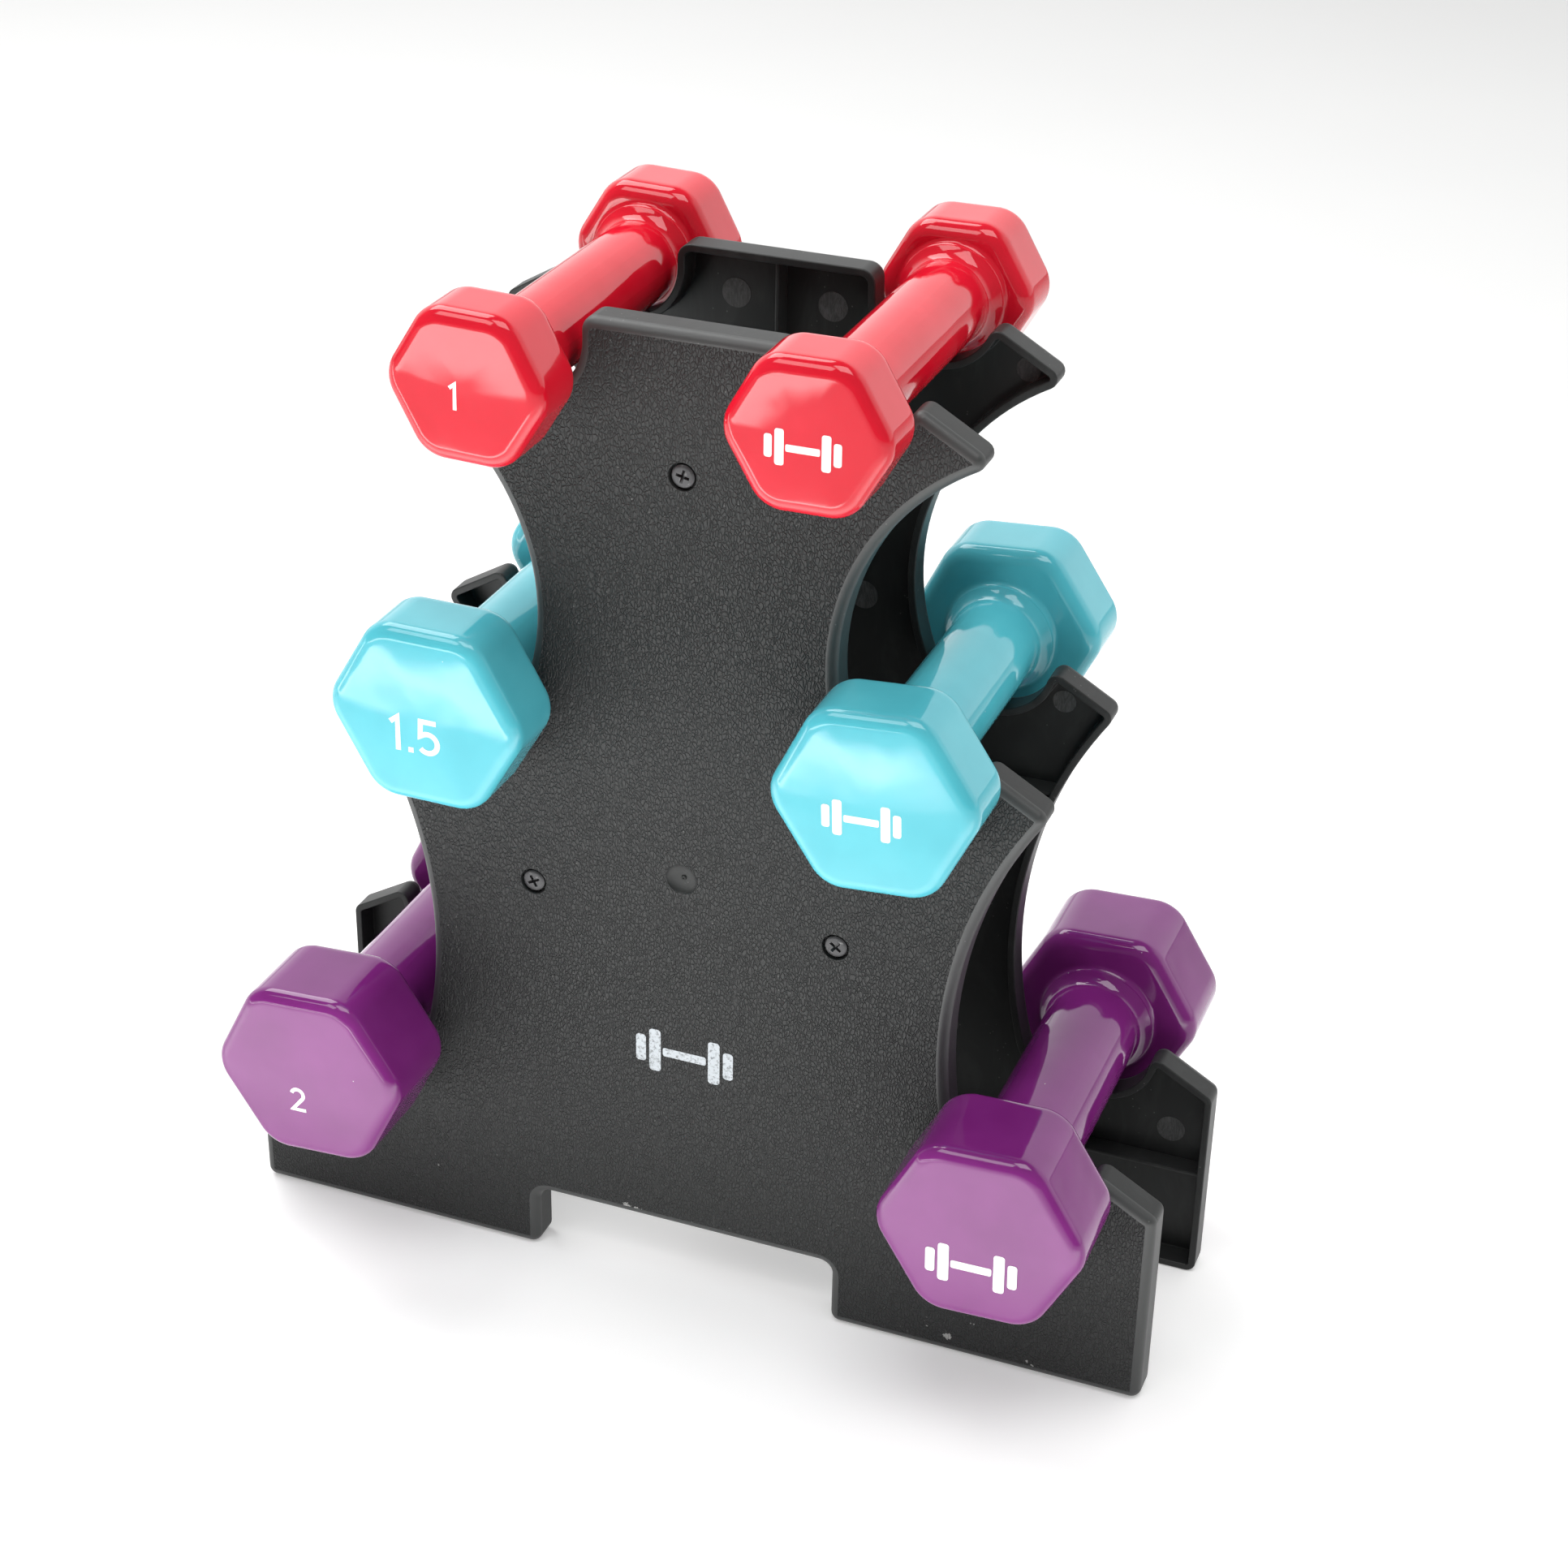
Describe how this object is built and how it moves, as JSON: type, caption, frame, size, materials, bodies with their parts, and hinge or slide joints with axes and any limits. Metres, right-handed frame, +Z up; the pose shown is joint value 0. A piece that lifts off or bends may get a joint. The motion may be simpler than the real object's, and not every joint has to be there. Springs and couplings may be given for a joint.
{
  "type": "dumbbell rack",
  "caption": "Tabletop stand of mirrored black ribbed plastic panels on spacers, with stepped cradles holding pairs of glossy vinyl-dipped hexagonal dumbbells.",
  "frame": {"origin": "on the floor, under the middle of the rack's width and depth", "axes": "X is the width, with the feet to either side; Y is the depth, the dumbbells' long way, with the front panel towards -Y; Z is up"},
  "size_m": [0.33, 0.178, 0.3617],
  "materials": {
    "panel_plastic": "charcoal-black moulded plastic, fine leather grain on the outer faces, smooth rims",
    "spacer_plastic": "smooth black moulded plastic",
    "screw_steel": "black oxide cross-recess screws",
    "dumbbell_iron": "rough cast iron, hidden under the coat",
    "vinyl_red": "high-gloss dipped vinyl, red",
    "vinyl_turquoise": "high-gloss dipped vinyl, turquoise",
    "vinyl_purple": "high-gloss dipped vinyl, purple"
  },
  "bodies": {
    "rack": {"front_face": "panel_plastic", "front_rim": "panel_plastic", "front_ribs": "panel_plastic", "collar_front_top": "panel_plastic", "collar_front_left": "panel_plastic", "collar_front_right": "panel_plastic", "rear_face": "panel_plastic", "rear_rim": "panel_plastic", "rear_ribs": "panel_plastic", "collar_rear_top": "panel_plastic", "collar_rear_left": "panel_plastic", "collar_rear_right": "panel_plastic", "spacer_top": "spacer_plastic", "spacer_left": "spacer_plastic", "spacer_right": "spacer_plastic", "screw_front_top": "screw_steel", "screw_front_left": "screw_steel", "screw_front_right": "screw_steel", "screw_rear_top": "screw_steel", "screw_rear_left": "screw_steel", "screw_rear_right": "screw_steel"},
    "dumbbell_red_left": {"core_red_left": "dumbbell_iron", "coat_red_left_front": "vinyl_red", "coat_red_left_grip": "vinyl_red", "coat_red_left_rear": "vinyl_red"},
    "dumbbell_red_right": {"core_red_right": "dumbbell_iron", "coat_red_right_front": "vinyl_red", "coat_red_right_grip": "vinyl_red", "coat_red_right_rear": "vinyl_red"},
    "dumbbell_turquoise_left": {"core_turquoise_left": "dumbbell_iron", "coat_turquoise_left_front": "vinyl_turquoise", "coat_turquoise_left_grip": "vinyl_turquoise", "coat_turquoise_left_rear": "vinyl_turquoise"},
    "dumbbell_turquoise_right": {"core_turquoise_right": "dumbbell_iron", "coat_turquoise_right_front": "vinyl_turquoise", "coat_turquoise_right_grip": "vinyl_turquoise", "coat_turquoise_right_rear": "vinyl_turquoise"},
    "dumbbell_purple_left": {"core_purple_left": "dumbbell_iron", "coat_purple_left_front": "vinyl_purple", "coat_purple_left_grip": "vinyl_purple", "coat_purple_left_rear": "vinyl_purple"},
    "dumbbell_purple_right": {"core_purple_right": "dumbbell_iron", "coat_purple_right_front": "vinyl_purple", "coat_purple_right_grip": "vinyl_purple", "coat_purple_right_rear": "vinyl_purple"}
  },
  "joints": [
    {"name": "lift_red_left", "type": "slide", "parent": "rack", "child": "dumbbell_red_left", "axis": [0, 0, 1], "range_m": [0, 0.06]},
    {"name": "lift_red_right", "type": "slide", "parent": "rack", "child": "dumbbell_red_right", "axis": [0, 0, 1], "range_m": [0, 0.06]},
    {"name": "lift_turquoise_left", "type": "slide", "parent": "rack", "child": "dumbbell_turquoise_left", "axis": [-0.5, 0, 0.866], "range_m": [0, 0.08]},
    {"name": "lift_turquoise_right", "type": "slide", "parent": "rack", "child": "dumbbell_turquoise_right", "axis": [0.5, 0, 0.866], "range_m": [0, 0.08]},
    {"name": "lift_purple_left", "type": "slide", "parent": "rack", "child": "dumbbell_purple_left", "axis": [-0.5, 0, 0.866], "range_m": [0, 0.08]},
    {"name": "lift_purple_right", "type": "slide", "parent": "rack", "child": "dumbbell_purple_right", "axis": [0.5, 0, 0.866], "range_m": [0, 0.08]}
  ]
}
